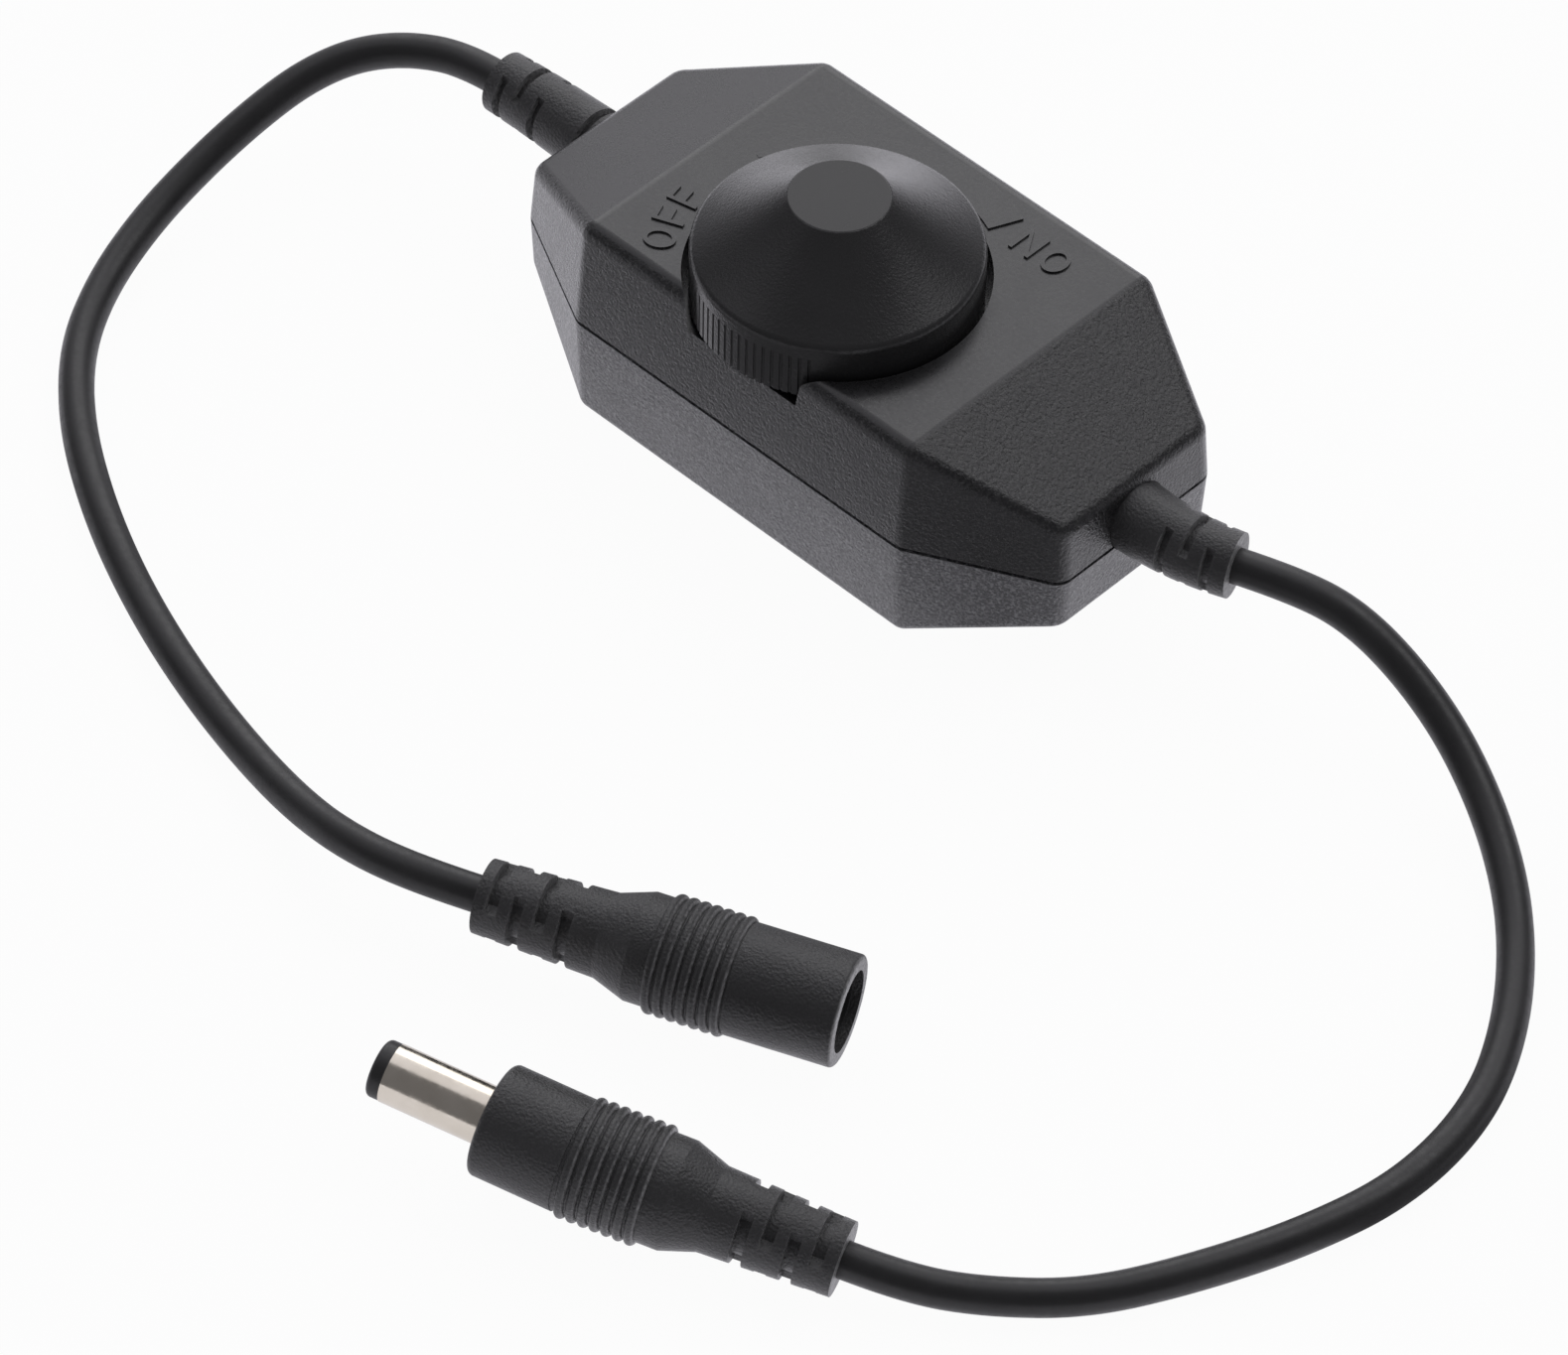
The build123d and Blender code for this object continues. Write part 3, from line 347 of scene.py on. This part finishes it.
CONNECTOR_AXIS = (0.918, 0.397, 0.0)    # plan direction of both connectors
# Edge tones lighten each material's edges: partly wear, partly a painted highlight on the rounded edges.
# The moulded PVC's faces along the connectors' axis are lightened by a painted highlight, broken up by noise.
MATERIALS = {
    "upper_case": moulded(
        "upper_case", dark=grey(0.010, 1.04), light=grey(0.015, 1.06), rough=(0.27, 0.33), grain=0.34,
        depth=0.120, rubbed_and_highlit_edge=grey(0.05), gloss=1.0, smooth_top=True, flecks=grey(0.040)),
    "lower_case": moulded(
        "lower_case", dark=grey(0.050, 1.08), light=grey(0.066, 1.10), rough=(0.36, 0.44), grain=0.36,
        depth=0.220, rubbed_and_highlit_edge=grey(0.12), specular=1.0, gloss=1.0, flecks=grey(0.33, 1.04)),
    "knob_plastic": moulded(
        "knob_plastic", dark=grey(0.036), light=grey(0.044), rough=(0.18, 0.24), grain=0.28, depth=0.042,
        specular=0.2, gloss=0.8, smooth_top=True),
    "moulded_pvc": moulded(
        "moulded_pvc", dark=grey(0.040), light=grey(0.054), rough=(0.36, 0.48), grain=0.18, depth=0.060,
        rubbed_and_highlit_edge=grey(0.08), gloss=0.5, pebbles=True, lit_direction=CONNECTOR_AXIS, painted_side_highlight=grey(0.42)),
    "cable_jacket": moulded(
        "cable_jacket", dark=grey(0.024), light=grey(0.032), rough=(0.36, 0.46), grain=0.60, depth=0.010),
    "insulator_plastic": moulded(
        "insulator_plastic", dark=grey(0.028), light=grey(0.036), rough=(0.34, 0.44), grain=0.25, depth=0.010,
        rubbed_and_highlit_edge=grey(0.06)),
    "control_plastic": moulded(
        "control_plastic", dark=(0.16, 0.10, 0.05, 1), light=(0.22, 0.15, 0.08, 1), rough=(0.5, 0.6),
        grain=0.4, depth=0.02),
    "component_black": moulded(
        "component_black", dark=grey(0.016), light=grey(0.024), rough=(0.5, 0.6), grain=0.15, depth=0.02,
        rubbed_and_highlit_edge=grey(0.06)),
    "component_ceramic": moulded(
        "component_ceramic", dark=(0.36, 0.25, 0.14, 1), light=(0.46, 0.33, 0.20, 1), rough=(0.45, 0.55),
        grain=0.2, depth=0.01),
    "capacitor_sleeve": moulded(
        "capacitor_sleeve", dark=(0.012, 0.018, 0.07, 1), light=(0.02, 0.03, 0.11, 1), rough=(0.2, 0.3),
        grain=0.8, depth=0.01),
    "core_red": moulded(
        "core_red", dark=(0.36, 0.012, 0.010, 1), light=(0.46, 0.02, 0.016, 1), rough=(0.3, 0.4), grain=0.6,
        depth=0.01),
    "core_black": moulded(
        "core_black", dark=grey(0.012), light=grey(0.018), rough=(0.3, 0.4), grain=0.6, depth=0.01),
    "nickel": metal(
        "nickel", dark=(0.78, 0.72, 0.61, 1), light=(0.88, 0.82, 0.71, 1), rough=(0.14, 0.24), grain=0.5,
        depth=0.004),
    "screw_steel": metal(
        "screw_steel", dark=(0.42, 0.42, 0.43, 1), light=(0.54, 0.54, 0.55, 1), rough=(0.3, 0.4), grain=0.2,
        depth=0.006),
    "control_metal": metal(
        "control_metal", dark=(0.5, 0.5, 0.5, 1), light=(0.6, 0.6, 0.6, 1), rough=(0.3, 0.4), grain=0.2,
        depth=0.006),
    "tinned_metal": metal(
        "tinned_metal", dark=(0.58, 0.58, 0.6, 1), light=(0.7, 0.7, 0.71, 1), rough=(0.25, 0.4), grain=0.3,
        depth=0.006),
    "board_laminate": laminate("board_laminate"),
}
CASE_LOOKS = {"top_shell": "upper_case", "bottom_shell": "lower_case"}


def paint(piece, look):
    piece.data.materials.clear()
    piece.data.materials.append(MATERIALS[look])


for row in frame["record"]["subparts"]:
    paint(nodes[row["node"]], CASE_LOOKS.get(row["node"], row["material_slot"]))
for lead in (output_lead, input_lead):
    paint(lead, "cable_jacket")


# Stage: a white floor, and a studio that is bright behind the object and overhead and dim towards the front

COOL = (0.95, 0.935, 1.0, 1.0)      # the paper's and the backdrop's light in reflections

# Floor, in metres: reflections see a dim strip of paper in front of the case
FLOOR_SIZE = 6.0
FLOOR_DROP = 0.0002                 # below the object's underside
PAPER = 0.82
PAPER_GLOW = 0.96                   # share of its own light in what is seen of the paper
STRIP_LEVEL = 0.25
STRIP_NEAR = (-0.034, -0.022)       # Y over which the strip brightens towards the case
STRIP_BESIDE = (0.018, 0.028)       # X over which its edge moves back beside the case
STRIP_SHIFT = 0.014                 # and by how much
STRIP_FAR = (-0.064, -0.050)        # Y over which it darkens from the far paper's level
FAR_LEVEL = 0.8
STRIP_LEFT = (-0.056, -0.042)       # X over which it darkens from the white paper on the left
MOUTH_X = (0.044, 0.050)            # the strip ends before the paper that the socket's mouth faces
MOUTH_Y = (-0.046, -0.038)

# Studio: ranges over which the light rises, of a direction's height and of how far it faces the backdrop
BACKDROP = (-0.684, 0.730, 0.0)     # plan direction of the backdrop's middle
BACKDROP_FACING = (0.60, 0.85)
BACKDROP_HEIGHT = (0.15, 0.60)
BACKDROP_FOOT = 0.55                # share of the backdrop's light at its foot
OVERHEAD_FACING = (-0.3, 0.2)
OVERHEAD_HEIGHT = (0.55, 0.80)
DIM = 0.16
BRIGHT = 0.80


def shown_rays(tree):
    """1 for the camera's rays, and 1 for what the camera, a reflection or a clear material sees."""
    path = tree.add("ShaderNodeLightPath").outputs
    shown = tree.math("MAXIMUM", path["Is Camera Ray"], path["Is Glossy Ray"])
    return path["Is Camera Ray"], tree.math("MAXIMUM", shown, path["Is Transmission Ray"])


def make_floor():
    bpy.ops.mesh.primitive_plane_add(size=FLOOR_SIZE, location=(0, 0, -FLOOR_DROP))
    floor = bpy.context.object
    floor.name = "floor"
    s = Shader("floor_paper")
    camera, shown = shown_rays(s)
    s.put(s.surface, **{"Base Color": grey(PAPER), "Roughness": 0.9, "Specular IOR Level": 0.1})
    across = s.parts(s.place)
    set_back = s.math("SUBTRACT", across["Y"], s.spread(across["X"], 0.0, STRIP_SHIFT, *STRIP_BESIDE))
    near = s.spread(set_back, STRIP_LEVEL, 1.0, *STRIP_NEAR)
    far = s.spread(across["Y"], FAR_LEVEL, 0.0, *STRIP_FAR)
    left = s.spread(across["X"], 1.0, 0.0, *STRIP_LEFT)
    before_mouth = s.math("MINIMUM", s.spread(across["X"], 0.0, 1.0, *MOUTH_X),
                          s.spread(across["Y"], 1.0, 0.0, *MOUTH_Y))
    level = s.math("MAXIMUM", s.math("MAXIMUM", near, far), s.math("MAXIMUM", left, before_mouth))
    glow = s.add("ShaderNodeEmission")
    s.put(glow, Color=s.blend(camera, COOL, WHITE), Strength=s.math("MAXIMUM", level, camera))
    mix = s.add("ShaderNodeMixShader")
    s.put(mix, n0=s.math("MULTIPLY", shown, PAPER_GLOW), n1=s.surface.outputs[0], n2=glow.outputs[0])
    s.link(mix.outputs[0], s.tree.nodes["Material Output"].inputs["Surface"])
    floor.data.materials.append(s.material)


def make_world():
    scene.world = bpy.data.worlds.new("studio")
    scene.world.use_nodes = True
    t = Tree(scene.world.node_tree)
    camera = t.add("ShaderNodeLightPath").outputs["Is Camera Ray"]
    direction = t.add("ShaderNodeTexCoord").outputs["Generated"]
    plan = t.vector("NORMALIZE", t.vector("MULTIPLY", direction, (1, 1, 0))[0])[0]
    facing = t.vector("DOT_PRODUCT", plan, BACKDROP)["Value"]
    height = t.parts(direction)["Z"]
    backdrop = t.math("MULTIPLY", t.spread(facing, 0.0, 1.0, *BACKDROP_FACING),
                      t.spread(height, BACKDROP_FOOT, 1.0, *BACKDROP_HEIGHT))
    overhead = t.math("MULTIPLY", t.spread(facing, 0.0, 1.0, *OVERHEAD_FACING),
                      t.spread(height, 0.0, 1.0, *OVERHEAD_HEIGHT))
    level = t.spread(t.math("MAXIMUM", backdrop, overhead), DIM, BRIGHT, 0.0, 1.0)
    t.put(t.tree.nodes["Background"], Color=t.blend(camera, COOL, WHITE),
          Strength=t.math("MAXIMUM", level, camera))


def make_light(name, place, size, power):
    """Square soft light that faces the object, in metres and watts."""
    data = bpy.data.lights.new(name, "AREA")
    data.shape = "SQUARE"
    data.size = size
    data.energy = power
    light = bpy.data.objects.new(name, data)
    light.location = place
    light.rotation_mode = "QUATERNION"
    light.rotation_quaternion = Vector(place).to_track_quat("Z", "Y")
    scene.collection.objects.link(light)


make_floor()
make_world()
make_light("back_light", place=(-0.65, 0.70, 0.60), size=0.8, power=2.2)
make_light("side_light", place=(0.20, 0.50, 0.85), size=0.5, power=1.0)
